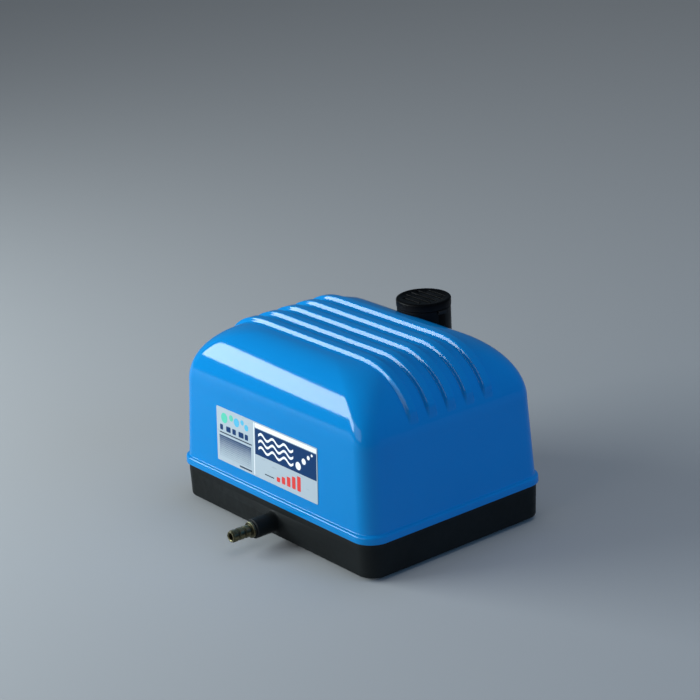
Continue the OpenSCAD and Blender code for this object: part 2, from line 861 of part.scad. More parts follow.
// The flap hangs from its top edge and covers one port.
module flap(side, x, y) {
    color([0.1, 0.1, 0.1]) place() on_side(side)
        block([x, y - flap_size[1] / 2, flap_top - flap_size[2]],
              [x + flap_size[0], y + flap_size[1] / 2, flap_top]);
}

module intake_flap(side) {
    flap(side, wall_x - 0.1 - flap_size[0], -port[0]);
}

module exhaust_flap(side) {
    flap(side, box_end + 0.1, port[0]);
}

module head_gasket(side) {
    color([0.1, 0.1, 0.1]) place() on_side(side) difference() {
        block([box_end, -head_half, head_z - head_half], [head_x, head_half, head_z + head_half]);
        for (y = pocket_ys)
            block([box_end - over, y, head_z - pocket_half],
                  [head_x + over, y + pocket_w, head_z + pocket_half]);
        for (y = [-1, 1])
            for (z = [-1, 1])
                translate([0, y * screw_half, head_z + z * screw_half])
                    rod_x(box_end - over, head_x + over, head_screw_r);
    }
}

module head_cover(side) {
    low = head_z - head_half;
    spigot_h = 8;
    vent_ys = [-16, -6];
    vent_z = 10;
    vent_r = 2.5;
    wall_t = 3;
    color([0.2, 0.21, 0.22]) place() on_side(side) difference() {
        union() {
            block([head_x, -head_half, low], [head_end, head_half, head_z + head_half]);
            translate([hose_at[0], hose_at[1], low - spigot_h]) cylinder(h = spigot_h + over, r = spigot_r);
        }
        for (y = pocket_ys)
            block([head_x - over, y, head_z - pocket_half],
                  [head_end - wall_t, y + pocket_w, head_z + pocket_half]);
        translate([hose_at[0], hose_at[1], low - spigot_h - over])
            cylinder(h = 2 * (spigot_h + over), r = air_r);
        for (y = vent_ys) translate([0, y, head_z + vent_z])
            rod_x(head_end - wall_t - over, head_end + over, vent_r);
        for (y = [-1, 1])
            for (z = [-1, 1])
                translate([0, y * screw_half, head_z + z * screw_half])
                    rod_x(head_x - over, head_end + over, head_screw_r);
    }
}

module head_screws(side) {
    color([0.7, 0.7, 0.72]) at_head(side)
        for (y = [-1, 1])
            for (z = [-1, 1])
                translate([0, y * screw_half, z * screw_half]) {
                    rod_x(ring_x, head_end, head_screw_r);
                    rod_x(head_end, head_end + 2, 2 * head_screw_r);
                }
}

module hose(side) {
    color([0.7, 0.7, 0.65]) place() on_side(side) translate([hose_at[0], hose_at[1], 0])
        tube_z(lid_top + hose_gap, head_z - head_half - hose_gap, tube_r, spigot_r);
}

upper_cover();
front_label();
cover_gasket();
base_tray();
rubber_feet();
cover_screws();
filter_tower();
filter_foam();
filter_cap();
outlet_nozzle();
outlet_seal();
outlet_tube();
cable_gland();
gland_nut();
air_chamber();
chamber_gasket();
chamber_lid();
isolators();
chassis_plate();
core_stack();
core_bracket();
core_bolts();
terminal_block();
internal_leads();
sound_foam();
coil_bobbin(-1);  // coil_bobbin_left
coil_bobbin(1);  // coil_bobbin_right
coil_winding(-1);  // coil_winding_left
coil_winding(1);  // coil_winding_right
pivot_bracket(-1);  // pivot_bracket_left
pivot_bracket(1);  // pivot_bracket_right
pivot_pin(-1);  // pivot_pin_left
pivot_pin(1);  // pivot_pin_right
arm(-1);  // arm_left
arm(1);  // arm_right
magnet(-1);  // magnet_left
magnet(1);  // magnet_right
diaphragm_plates(-1);  // diaphragm_plates_left
diaphragm_plates(1);  // diaphragm_plates_right
plate_screw(-1);  // plate_screw_left
plate_screw(1);  // plate_screw_right
diaphragm(-1);  // diaphragm_left
diaphragm(1);  // diaphragm_right
clamp_ring(-1);  // clamp_ring_left
clamp_ring(1);  // clamp_ring_right
valve_box(-1);  // valve_box_left
valve_box(1);  // valve_box_right
intake_flap(-1);  // intake_flap_left
intake_flap(1);  // intake_flap_right
exhaust_flap(-1);  // exhaust_flap_left
exhaust_flap(1);  // exhaust_flap_right
head_gasket(-1);  // head_gasket_left
head_gasket(1);  // head_gasket_right
head_cover(-1);  // head_cover_left
head_cover(1);  // head_cover_right
head_screws(-1);  // head_screws_left
head_screws(1);  // head_screws_right
hose(-1);  // hose_left
hose(1);  // hose_right
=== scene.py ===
"""Looks for the pond air pump: a glossy ribbed cover, a dark base, an intake tower and a brass hose barb.

Lengths are in millimetres in the named values and functions below, and become metres when a mesh is made.
The pump's own frame has its origin under the middle of the base tray, at the tray's underside;
BODY_Y and FOOT move it into the row frame.
"""

import json
import math

import bmesh
import bpy
import numpy as np
from mathutils import Matrix, Vector


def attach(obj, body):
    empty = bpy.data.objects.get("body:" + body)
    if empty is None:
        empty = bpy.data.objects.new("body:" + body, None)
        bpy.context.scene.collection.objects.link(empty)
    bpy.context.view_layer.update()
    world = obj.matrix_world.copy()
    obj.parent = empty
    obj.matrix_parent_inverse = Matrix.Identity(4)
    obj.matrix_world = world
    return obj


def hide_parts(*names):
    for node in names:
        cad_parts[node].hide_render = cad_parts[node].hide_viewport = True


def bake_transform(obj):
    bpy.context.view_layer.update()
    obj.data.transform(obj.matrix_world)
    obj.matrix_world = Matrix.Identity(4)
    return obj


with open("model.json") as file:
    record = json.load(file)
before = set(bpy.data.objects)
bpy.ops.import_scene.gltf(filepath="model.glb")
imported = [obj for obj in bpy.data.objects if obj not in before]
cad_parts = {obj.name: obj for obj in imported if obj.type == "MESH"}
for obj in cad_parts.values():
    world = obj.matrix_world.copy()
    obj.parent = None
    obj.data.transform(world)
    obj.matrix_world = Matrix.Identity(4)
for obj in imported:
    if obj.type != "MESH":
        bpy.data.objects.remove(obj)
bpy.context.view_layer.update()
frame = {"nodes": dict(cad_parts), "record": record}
NODES = frame["nodes"]
RECORD = frame["record"]

MM = 0.001
BODY_Y = 13.75
FOOT = 2.5

# Cover. Its outline is given at the foot of the walls, which lean in by LEAN.
COVER_W, COVER_D, BASE_H, TOP_Z = 222.6, 162.0, 26.3, 136.0
LEAN = math.radians(2.83)
SLOPE = math.tan(LEAN)
CORNER_R, CORNER_GROW, COVER_T = 14.0, 12.0, 3.0
BEAD_OUT, BEAD_H, BEAD_SOFT, BEAD_ROLL, BEAD_NECK = 2.3, 7.0, 0.6, 1.6, 1.2
FLANGE_T, FLANGE_LOW, FLANGE_TOP = 2.6, 4.0, 6.0
SHOULDER_H, SHOULDER_X, SHOULDER_FRONT, SHOULDER_REAR = 46.0, 50.0, 34.0, 36.0
SHOULDER_Z = TOP_Z - SHOULDER_H
RIB_MIDDLE, RIB_PITCH = 1.0, 17.0
RIB_YS = [RIB_MIDDLE + RIB_PITCH * i for i in (-2, -1, 0, 1, 2)]
RIB_HALF, RIB_FLANK, RIB_H, RIB_END_Z, RIB_FADE = 4.8, 2.1, 3.0, 101.0, 10.0
COVER_POST = (101.9, 71.9)

# Base. Places with two numbers are (x, y) for the feet, and (x, z) for the outlet and the cable gland.
BASE_W, BASE_D = COVER_W + 0.6, COVER_D + 0.6
BASE_TAPER = 0.85
FOOT_AT = (93.0, 59.0)
OUTLET = (2.0, 11.5)
BOSS_FRONT, BOSS_R = -100.0, 7.25
GLAND = (-70.0, 11.5)

# Tower
TOWER = (-1.7, 70.0)
TOWER_AXIS = (*TOWER, 0)
TOWER_R, TOWER_FOOT, TOWER_GAP = 20.0, 80.0, 0.4
CAP_TOP, CAP_R, CAP_H = 143.0, 20.4, 6.0
NECK_Z = CAP_TOP - CAP_H - 0.3
NECK_R = CAP_R - 2.1

# A height clear above the pump, for cutting tools
CLEAR_Z = 160
# A quarter turn in steps, in degrees, for rounded edges
QUARTER = range(0, 91, 15)


# ---- Mesh helpers ----


def row(points):
    """Points in the pump's own frame, in millimetres, as metres in the row frame."""
    return [(x * MM, (y + BODY_Y) * MM, (z + FOOT) * MM) for x, y, z in points]


def new_piece(name, points, faces, smooth_angle=35.0):
    mesh = bpy.data.meshes.new(name)
    mesh.from_pydata(row(points), [], faces)
    mesh.validate()
    return finish_piece(name, mesh, smooth_angle)


def finish_piece(name, mesh, smooth_angle=35.0):
    bm = bmesh.new()
    bm.from_mesh(mesh)
    weld(bm)
    bmesh.ops.recalc_face_normals(bm, faces=bm.faces)
    shade(bm, smooth_angle)
    bm.to_mesh(mesh)
    bm.free()
    piece = bpy.data.objects.new(name, mesh)
    bpy.context.scene.collection.objects.link(piece)
    return piece


def weld(bm):
    bmesh.ops.remove_doubles(bm, verts=bm.verts, dist=1e-7)


def shade(bm, smooth_angle):
    """Smooth shading, with a hard edge wherever two faces meet at the angle or more."""
    limit = math.radians(smooth_angle)
    for face in bm.faces:
        face.smooth = True
    for edge in bm.edges:
        edge.smooth = len(edge.link_faces) == 2 and edge.calc_face_angle(0.0) < limit


def reshade(piece, smooth_angle=35.0):
    """Welds and shades a mesh that booleans or bevels have changed."""
    bm = bmesh.new()
    bm.from_mesh(piece.data)
    weld(bm)
    shade(bm, smooth_angle)
    bm.to_mesh(piece.data)
    bm.free()


def joined(name, pieces, smooth_angle=35.0):
    """One piece of several solids, such as the four feet."""
    bm = bmesh.new()
    for piece in pieces:
        bm.from_mesh(piece.data)
        bpy.data.objects.remove(piece)
    mesh = bpy.data.meshes.new(name)
    bm.to_mesh(mesh)
    bm.free()
    return finish_piece(name, mesh, smooth_angle)


def rounding(*angles):
    """The sine and the cosine of each angle in degrees, for the rounded edges of a profile."""
    return [(math.sin(math.radians(a)), math.cos(math.radians(a))) for a in angles]


def loft(rings):
    """Points and faces of a closed solid: rings of equal length, the first and the last one closed."""
    n = len(rings[0])
    points = [p for ring in rings for p in ring]
    faces = []
    for k in range(len(rings) - 1):
        for i in range(n):
            j = (i + 1) % n
            faces.append((k * n + i, k * n + j, (k + 1) * n + j, (k + 1) * n + i))
    faces.append(tuple(range(n - 1, -1, -1)))
    faces.append(tuple((len(rings) - 1) * n + i for i in range(n)))
    return points, faces


def lathe(name, profile, centre, axis, steps=96, smooth_angle=35.0):
    """A turned piece: profile is (distance along axis, radius) pairs, closed on the axis or as a tube."""
    ends = profile[0][1] == 0 and profile[-1][1] == 0
    points, faces = [], []
    for t, r in profile:
        for i in range(steps):
            a = 2 * math.pi * i / steps
            points.append((t, r * math.cos(a), r * math.sin(a)))
    count = len(profile)
    for k in range(count - 1 if ends else count):
        for i in range(steps):
            j = (i + 1) % steps
            k2 = (k + 1) % count
            faces.append((k * steps + i, k * steps + j, k2 * steps + j, k2 * steps + i))
    order = {"x": (0, 1, 2), "y": (1, 0, 2), "z": (1, 2, 0)}[axis]
    moved = [tuple(c + p[i] for c, i in zip(centre, order)) for p in points]
    return new_piece(name, moved, faces, smooth_angle)


def box_mesh(name, low, high):
    """A plain box, for cutting and joining."""
    (x0, y0, z0), (x1, y1, z1) = low, high
    lower = [(x0, y0), (x1, y0), (x1, y1), (x0, y1)]
    points, faces = loft([[(x, y, z) for x, y in lower] for z in (z0, z1)])
    return new_piece(name, points, faces)


def round_bar(name, p0, p1, r, steps=64):
    """A plain cylinder from p0 to p1, for cutting and joining."""
    a, b = Vector(p0), Vector(p1)
    turn = (b - a).to_track_quat("Z", "Y").to_matrix()
    angles = np.linspace(0, 2 * math.pi, steps, endpoint=False)
    circle = [turn @ Vector((r * math.cos(t), r * math.sin(t), 0)) for t in angles]
    points, faces = loft([[tuple(end + c) for c in circle] for end in (a, b)])
    return new_piece(name, points, faces)


def bar_along_y(place, y0, y1, r, steps=48):
    """A cutting tool that runs from front to rear through the place (x, z)."""
    return round_bar("cut", (place[0], y0, place[1]), (place[0], y1, place[1]), r, steps)


def carve(piece, operation, tool):
    """Joins tool to piece (UNION) or cuts it out (DIFFERENCE), and removes the tool."""
    modifier = piece.modifiers.new("carve", "BOOLEAN")
    modifier.operation = operation
    modifier.solver = "EXACT"
    modifier.object = tool
    apply_modifiers(piece)
    bpy.data.objects.remove(tool)


def apply_modifiers(piece):
    bpy.context.view_layer.update()
    evaluated = piece.evaluated_get(bpy.context.evaluated_depsgraph_get())
    mesh = bpy.data.meshes.new_from_object(evaluated)
    piece.modifiers.clear()
    piece.data = mesh


def bevel(piece, width, segments=3, angle=35.0):
    modifier = piece.modifiers.new("bevel", "BEVEL")
    modifier.width = width * MM
    modifier.segments = segments
    modifier.limit_method = "ANGLE"
    modifier.angle_limit = math.radians(angle)
    modifier.harden_normals = False
    apply_modifiers(piece)
    reshade(piece)


def settle(piece, body, slot, material, *replaced):
    """Gives a finished piece its body and its material, and hides the CAD nodes that it stands for."""
    piece.data.materials.clear()
    piece.data.materials.append(material)
    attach(piece, body)
    if replaced:
        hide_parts(*replaced)


# ---- Materials ----


class Shader:
    """A procedural material on one Principled shader, in object coordinates."""

    def __init__(self, name, colour, roughness, metallic=0.0, **sockets):
        self.material = bpy.data.materials.new(name)
        self.material.use_nodes = True
        self.tree = self.material.node_tree
        self.bsdf = self.tree.nodes["Principled BSDF"]
        self.bsdf.inputs["Base Color"].default_value = (*colour, 1)
        self.bsdf.inputs["Roughness"].default_value = roughness
        self.bsdf.inputs["Metallic"].default_value = metallic
        for socket, value in sockets.items():
            self.bsdf.inputs[socket.replace("_", " ")].default_value = value
        self.place = self.tree.nodes.new("ShaderNodeTexCoord").outputs["Object"]
        self.colour = colour
        self.normal = None
        self.mixed = None

    def node(self, kind, **values):
        made = self.tree.nodes.new(kind)
        for key, value in values.items():
            setattr(made, key, value)
        return made

    def link(self, out, socket):
        self.tree.links.new(out, socket)

    def stretched(self, scale):
        mapping = self.node("ShaderNodeMapping")
        mapping.inputs["Scale"].default_value = scale
        self.link(self.place, mapping.inputs["Vector"])
        return mapping.outputs["Vector"]

    def noise(self, scale, detail, stretch=None):
        made = self.node("ShaderNodeTexNoise")
        made.inputs["Scale"].default_value = scale
        made.inputs["Detail"].default_value = detail
        self.link(self.stretched(stretch) if stretch else self.place, made.inputs["Vector"])
        return made.outputs["Fac"]

    def voronoi(self, scale):
        made = self.node("ShaderNodeTexVoronoi")
        made.inputs["Scale"].default_value = scale
        self.link(self.place, made.inputs["Vector"])
        return made.outputs["Distance"]

    def bands(self, scale, direction):
        made = self.node("ShaderNodeTexWave", wave_type="BANDS", bands_direction=direction)
        made.inputs["Scale"].default_value = scale
        self.link(self.place, made.inputs["Vector"])
        return made.outputs["Fac"]

    def ramp(self, fac, low, high, at=(0.3, 0.7)):
        made = self.node("ShaderNodeMapRange")
        made.inputs["From Min"].default_value = at[0]
        made.inputs["From Max"].default_value = at[1]
        made.inputs["To Min"].default_value = low
        made.inputs["To Max"].default_value = high
        self.link(fac, made.inputs["Value"])
        return made.outputs["Result"]

    def vary_colour(self, fac, other, amount=1.0, at=(0.35, 0.65)):
        """Mixes the colour towards other where fac is high."""
        mix = self.node("ShaderNodeMix", data_type="RGBA")
        self.link(self.ramp(fac, 0.0, amount, at), mix.inputs["Factor"])
        if self.mixed is None:
            mix.inputs["A"].default_value = (*self.colour, 1)
        else:
            self.link(self.mixed, mix.inputs["A"])
        mix.inputs["B"].default_value = (*other, 1)
        self.mixed = mix.outputs["Result"]
        self.link(self.mixed, self.bsdf.inputs["Base Color"])

    def vary_roughness(self, fac, low, high):
        self.link(self.ramp(fac, low, high), self.bsdf.inputs["Roughness"])

    def bump(self, fac, height_mm, strength):
        """Adds a relief of that height; several calls stack."""
        made = self.node("ShaderNodeBump")
        made.inputs["Strength"].default_value = strength
        made.inputs["Distance"].default_value = height_mm * MM
        self.link(fac, made.inputs["Height"])
        if self.normal is not None:
            self.link(self.normal, made.inputs["Normal"])
        self.normal = made.outputs["Normal"]
        self.link(self.normal, self.bsdf.inputs["Normal"])

    def worn_edges(self, colour, amount):
        """Lightens convex edges a little, as handling does."""
        edge = self.node("ShaderNodeNewGeometry").outputs["Pointiness"]
        self.vary_colour(edge, colour, amount, at=(0.52, 0.60))


def make_materials():
    made = {}

    blue = Shader("blue_gloss_plastic", (0.0025, 0.205, 0.53), 0.08, Specular_IOR_Level=0.22)
    blue.vary_colour(blue.noise(14.0, 2.0), (0.002, 0.19, 0.50), 0.6)
    blue.vary_roughness(blue.noise(60.0, 4.0), 0.06, 0.10)
    blue.bump(blue.noise(22.0, 0.0), 0.2, 0.25)
    made["blue_shell"] = blue

    base = Shader("grained_black_plastic", (0.007, 0.0082, 0.0082), 0.5, Specular_IOR_Level=0.12)
    base.vary_colour(base.noise(30.0, 4.0), (0.009, 0.011, 0.0115), 0.8)
    base.vary_roughness(base.noise(200.0, 3.0), 0.42, 0.58)
    base.bump(base.voronoi(1400.0), 0.06, 0.5)
    base.bump(base.noise(25.0, 1.0), 0.25, 0.2)
    base.worn_edges((0.035, 0.038, 0.039), 0.5)
    made["black_base"] = base

    cap = Shader("satin_black_plastic", (0.0015, 0.0015, 0.0018), 0.38, Specular_IOR_Level=0.06)
    cap.vary_roughness(cap.noise(120.0, 3.0), 0.32, 0.46)
    cap.bump(cap.noise(700.0, 2.0), 0.03, 0.4)
    cap.worn_edges((0.03, 0.03, 0.032), 0.5)
    made["black_filter"] = cap

    film = Shader("silver_label_film", (0.40, 0.47, 0.52), 0.34, Specular_IOR_Level=0.3)
    film.vary_roughness(film.noise(500.0, 3.0, (0.15, 1, 1)), 0.26, 0.38)
    film.bump(film.noise(60.0, 1.0), 0.05, 0.3)
    made["label_film"] = film

    rubber = Shader("black_rubber", (0.018, 0.018, 0.018), 0.72, IOR=1.52)
    rubber.vary_colour(rubber.noise(80.0, 4.0), (0.035, 0.034, 0.033), 0.7)
    rubber.bump(rubber.noise(1500.0, 3.0), 0.04, 0.6)
    made["rubber"] = rubber

    hose = Shader("milky_tube", (0.5, 0.5, 0.46), 0.35, Transmission_Weight=0.25, IOR=1.42)
    hose.vary_colour(hose.noise(90.0, 3.0), (0.42, 0.41, 0.36), 0.6)
    hose.bump(hose.noise(300.0, 2.0), 0.04, 0.4)
    made["hose_rubber"] = hose

    foam = Shader("filter_foam", (0.05, 0.055, 0.06), 0.95)
    foam.vary_colour(foam.voronoi(700.0), (0.10, 0.105, 0.11), 0.9, at=(0.2, 0.6))
    foam.bump(foam.voronoi(700.0), 0.6, 0.9)
    made["foam"] = foam

    zinc = Shader("zinc_plated_steel", (0.58, 0.59, 0.61), 0.32, metallic=1.0)
    zinc.vary_colour(zinc.noise(45.0, 4.0), (0.50, 0.50, 0.49), 0.7)
    zinc.vary_roughness(zinc.noise(220.0, 4.0, (1, 0.12, 1)), 0.24, 0.42)
    zinc.bump(zinc.noise(600.0, 3.0, (1, 0.1, 1)), 0.02, 0.4)
    made["zinc_steel"] = zinc

    brass = Shader("dull_brass", (0.115, 0.108, 0.062), 0.38, metallic=1.0)
    brass.vary_colour(brass.noise(160.0, 4.0), (0.05, 0.048, 0.03), 0.9)
    brass.vary_roughness(brass.noise(300.0, 4.0), 0.28, 0.5)
    brass.bump(brass.bands(900.0, "Y"), 0.012, 0.5)
    brass.worn_edges((0.36, 0.32, 0.18), 0.5)
    made["dull_brass"] = brass

    core = Shader("varnished_laminations", (0.10, 0.10, 0.115), 0.4, metallic=0.7)
    core.vary_colour(core.bands(630.0, "Y"), (0.035, 0.035, 0.04), 0.8, at=(0.3, 0.8))
    core.bump(core.bands(630.0, "Y"), 0.06, 0.8)
    made["lamination"] = core

    magnet = Shader("sintered_magnet", (0.045, 0.045, 0.05), 0.45, metallic=0.6)
    magnet.vary_colour(magnet.noise(400.0, 4.0), (0.08, 0.08, 0.085), 0.8)
    magnet.bump(magnet.noise(900.0, 4.0), 0.04, 0.6)
    made["magnet_iron"] = magnet

    copper = Shader("enamelled_copper", (0.50, 0.17, 0.05), 0.28, metallic=0.9, Coat_Weight=0.5)
    copper.vary_colour(copper.bands(420.0, "X"), (0.20, 0.06, 0.02), 0.8, at=(0.5, 1.0))
    copper.bump(copper.bands(420.0, "X"), 0.12, 0.9)
    made["copper_wire"] = copper

    nylon = Shader("natural_nylon", (0.72, 0.68, 0.57), 0.45)
    nylon.vary_colour(nylon.noise(60.0, 3.0), (0.64, 0.60, 0.48), 0.6)
    nylon.bump(nylon.noise(400.0, 2.0), 0.03, 0.4)
    made["bobbin_nylon"] = nylon

    alloy = Shader("cast_alloy", (0.62, 0.62, 0.63), 0.45, metallic=1.0)
    alloy.vary_colour(alloy.noise(90.0, 5.0), (0.48, 0.48, 0.49), 0.8)
    alloy.bump(alloy.noise(700.0, 4.0), 0.06, 0.6)
    made["arm_alloy"] = alloy

    head = Shader("glass_filled_plastic", (0.03, 0.033, 0.036), 0.55)
    head.vary_colour(head.noise(180.0, 5.0, (1, 0.2, 1)), (0.05, 0.053, 0.056), 0.7)
    head.bump(head.noise(900.0, 3.0), 0.04, 0.5)
    made["head_plastic"] = head

    lead = Shader("lead_insulation", (0.55, 0.09, 0.03), 0.35)
    lead.vary_roughness(lead.noise(150.0, 3.0), 0.28, 0.45)
    lead.bump(lead.noise(400.0, 2.0), 0.03, 0.4)
    made["lead_wire"] = lead

    inks = {
        "ink_navy": (0.004, 0.034, 0.115),
        "ink_white": (0.82, 0.83, 0.83),
        "ink_red": (0.66, 0.05, 0.045),
        "ink_green": (0.10, 0.52, 0.38),
        "ink_cyan": (0.09, 0.42, 0.62),
        "ink_dark": (0.02, 0.035, 0.06),
    }
    for name, colour in inks.items():
        ink = Shader(name, colour, 0.45, Specular_IOR_Level=0.12)
        ink.vary_roughness(ink.noise(500.0, 3.0), 0.28, 0.42)
        lighter = tuple(min(1.0, c * 1.15 + 0.004) for c in colour)
        ink.vary_colour(ink.noise(1200.0, 2.0), lighter, 0.5)
        made[name] = ink
    return {name: shader.material for name, shader in made.items()}


MATERIALS = make_materials()


# ---- Cover ----

ARC_STEPS = 24
SIDE_STEPS = 12
SHOULDER_ROWS = 44
WALL_ROWS = 10
INNER_ROWS = 12


def ring(w, front, rear, r, z, steps=SIDE_STEPS):
    """A closed ring at one height, with rounded corners."""
    quarter = math.pi / 2
    right = []
    for i in range(ARC_STEPS + 1):
        a = -quarter + quarter * i / ARC_STEPS
        right.append((w - r + r * math.cos(a), front + r + r * math.sin(a), z))
    for i in range(1, steps):
        right.append((w, front + r + (rear - front - 2 * r) * i / steps, z))
    for i in range(ARC_STEPS + 1):
        a = quarter * i / ARC_STEPS
        right.append((w - r + r * math.cos(a), rear - r + r * math.sin(a), z))
    return right + [(-x, y, z) for x, y, z in reversed(right)]


def wall_ring(z, inset=0.0, out=0.0):
    k = (z - BASE_H) * SLOPE + inset - out
    return ring(COVER_W / 2 - k, -COVER_D / 2 + k, COVER_D / 2 - k, CORNER_R - inset + out, z)


def shoulder_at(a, inset=0.0):
    """Half width, front, rear, corner radius and height of the shoulder at angle a, 0 at the wall."""
    k = (SHOULDER_Z - BASE_H) * SLOPE + inset
    reach = 1 - math.cos(a)
    return (
        COVER_W / 2 - k - (SHOULDER_X - inset) * reach,
        -COVER_D / 2 + k + (SHOULDER_FRONT - inset) * reach,
        COVER_D / 2 - k - (SHOULDER_REAR - inset) * reach,
        CORNER_R - inset + CORNER_GROW * reach,
        SHOULDER_Z + (SHOULDER_H - inset) * math.sin(a),
    )


def bead_rings():
    """The rolled bead along the cover's lower edge, from its underside up to the wall."""
    rings = [wall_ring(BASE_H, out=BEAD_OUT - BEAD_SOFT)]
    for s, c in rounding(30, 60, 90):
        rings.append(wall_ring(BASE_H + BEAD_SOFT * (1 - c), out=BEAD_OUT - BEAD_SOFT + BEAD_SOFT * s))
    top = BASE_H + BEAD_H
    for s, c in rounding(*QUARTER):
        z = top - BEAD_NECK - BEAD_ROLL + BEAD_ROLL * s
        rings.append(wall_ring(z, out=BEAD_OUT - BEAD_ROLL + BEAD_ROLL * c))
    for s, c in rounding(*QUARTER[1:]):
        rings.append(wall_ring(top - BEAD_NECK * c, out=(BEAD_OUT - BEAD_ROLL) * (1 - s)))
    return rings


def cover_mesh():
    """The hollow cover: its outside, its inside with a flange at the foot, and the edge between them."""
    outer = bead_rings()
    top_of_bead = BASE_H + BEAD_H
    for i in range(1, WALL_ROWS):
        outer.append(wall_ring(top_of_bead + (SHOULDER_Z - top_of_bead) * i / WALL_ROWS))
    for i in range(SHOULDER_ROWS + 1):
        outer.append(ring(*shoulder_at(0.5 * math.pi * i / SHOULDER_ROWS)))
    flange = COVER_T + FLANGE_T
    inner = [wall_ring(BASE_H, flange), wall_ring(BASE_H + FLANGE_LOW, flange)]
    inner.append(wall_ring(BASE_H + FLANGE_TOP, COVER_T))
    for i in range(INNER_ROWS + 1):
        inner.append(ring(*shoulder_at(0.5 * math.pi * i / INNER_ROWS, COVER_T)))
    n = len(outer[0])
    points, faces = [], []

    def add_rings(rings, inwards):
        start = len(points)
        for one in rings:
            points.extend(one)
        for k in range(len(rings) - 1):
            low, high = start + k * n, start + (k + 1) * n
            for i in range(n):
                j = (i + 1) % n
                quad = (low + i, low + j, high + j, high + i)
                faces.append(quad[::-1] if inwards else quad)
        last = start + (len(rings) - 1) * n
        for i in range(n // 2 - 1):
            quad = (last + i, last + i + 1, last + n - 2 - i, last + n - 1 - i)
            faces.append(quad[::-1] if inwards else quad)
        return start

    first_outer = add_rings(outer, False)
    first_inner = add_rings(inner, True)
    for i in range(n):
        j = (i + 1) % n
        faces.append((first_outer + j, first_outer + i, first_inner + i, first_inner + j))
    return points, faces


def ease(t):
    """A smooth rise from 0 at t = 0 to 1 at t = 1, level outside."""
    t = min(max(t, 0.0), 1.0)
    return t * t * (3 - 2 * t)


RIB_SINK, RIB_DEPTH, RIB_SKIRT = 0.04, 1.0, 0.25
CREST_SHARES = (0.94, 0.0, -0.94)
RIB_ROWS = 56
FLANK_STEPS = 12


def rib_offsets():
    """Places across a rib, close together on its flanks and running just past its edges."""
    crown = RIB_HALF - RIB_FLANK
    half = [RIB_HALF + RIB_SKIRT] + [RIB_HALF - RIB_FLANK * i / FLANK_STEPS for i in range(FLANK_STEPS + 1)]
    half += [crown * 2 / 3, crown / 3]
    return [-d for d in half] + [0.0] + half[::-1]


def rib_point(y, a, share):
    """A point of a rib's upper side, or of its buried underside when share is None."""
    w, front, rear, r, z = shoulder_at(a)
    tilt = math.atan2(math.sin(a) / SHOULDER_H, math.cos(a) / SHOULDER_X)
    turn = math.asin(min(max(front + r - y, y - rear + r, 0.0) / r, 1.0))
    if share is None:
        d = -RIB_DEPTH
    else:
        weight = 1 - math.cos(tilt) ** 2 * (1 - math.cos(turn))
        d = RIB_H * share * weight * ease((z - RIB_END_Z) / RIB_FADE) - RIB_SINK
    return (w - r + r * math.cos(turn) + d * math.cos(tilt) * math.cos(turn), y, z + d * math.sin(tilt))


def last_angle(y):
    """The shoulder angle at which the surface reaches its full height at depth y."""
    k = (SHOULDER_Z - BASE_H) * SLOPE
    reach = min((COVER_D / 2 - k + y) / SHOULDER_FRONT, (COVER_D / 2 - k - y) / SHOULDER_REAR, 1.0)
    return math.acos(1 - reach)


def make_rib(centre):
    """One rib: closed loops round its cross-section, from the right wall over the top to the left wall."""
    start = math.asin((RIB_END_Z - 1 - SHOULDER_Z) / SHOULDER_H)
    offsets = rib_offsets()
    half_loops = []
    for i in range(RIB_ROWS + 1):
        loop = []
        for d in offsets:
            a = start + (last_angle(centre + d) - start) * i / RIB_ROWS
            loop.append(rib_point(centre + d, a, ease((RIB_HALF - abs(d)) / RIB_FLANK)))
        for d in offsets[::-1]:
            a = start + (last_angle(centre + d) - start) * i / RIB_ROWS
            loop.append(rib_point(centre + d, a, None))
        half_loops.append(loop)
    crest_loop = half_loops[-1]
    across = [[(x * share, y, z) for x, y, z in crest_loop] for share in CREST_SHARES]
    left = [[(-x, y, z) for x, y, z in loop] for loop in reversed(half_loops)]
    return new_piece("rib", *loft(half_loops + across + left), smooth_angle=60)


def make_cover():
    cover = new_piece("cover_shell", *cover_mesh(), smooth_angle=50)
    hole = round_bar("hole", (*TOWER, TOWER_FOOT - TOWER_GAP), (*TOWER, CLEAR_Z), TOWER_R + TOWER_GAP, 128)
    carve(cover, "DIFFERENCE", hole)
    cover = joined("cover_shell", [cover] + [make_rib(y) for y in RIB_YS], 50)
    settle(cover, "housing", "blue_shell", MATERIALS["blue_shell"], "upper_cover")


# ---- Base ----

TRAY_SOFT, TRAY_WALL, TRAY_FLOOR = 1.6, 3.0, 3.0
RIM_SOFT, LIP_IN, LIP_Z = 0.3, 7.0, 19.0
BOSS_SOFT, BOSS_ROOT, BOSS_SINK = 0.8, 3.0, 1.5
POST_R, POST_FOOT = 6.8, 1.5
SCREW_R, SCREW_HEAD_R, SCREW_HEAD_Z = 2.02, 4.2, 6
STEM_HOLE_R, GLAND_HOLE_R, WALL_REACH = 4.02, 6.02, 6
PIN_HOLE_R, PIN_HOLE_TOP = 3.02, 5


def corners(at):
    """The four places that mirror one place (x, y) about the middle."""
    return [(x * at[0], y * at[1]) for x in (-1, 1) for y in (-1, 1)]


def base_ring(inset, z):
    """A ring round the tray. The wall leans in towards its underside."""
    lean = BASE_TAPER * (1 - z / BASE_H)
    w, d = BASE_W / 2 - inset - lean, BASE_D / 2 - inset - lean
    return ring(w, -d, d, max(CORNER_R - inset - lean, 1.0), z, steps=8)


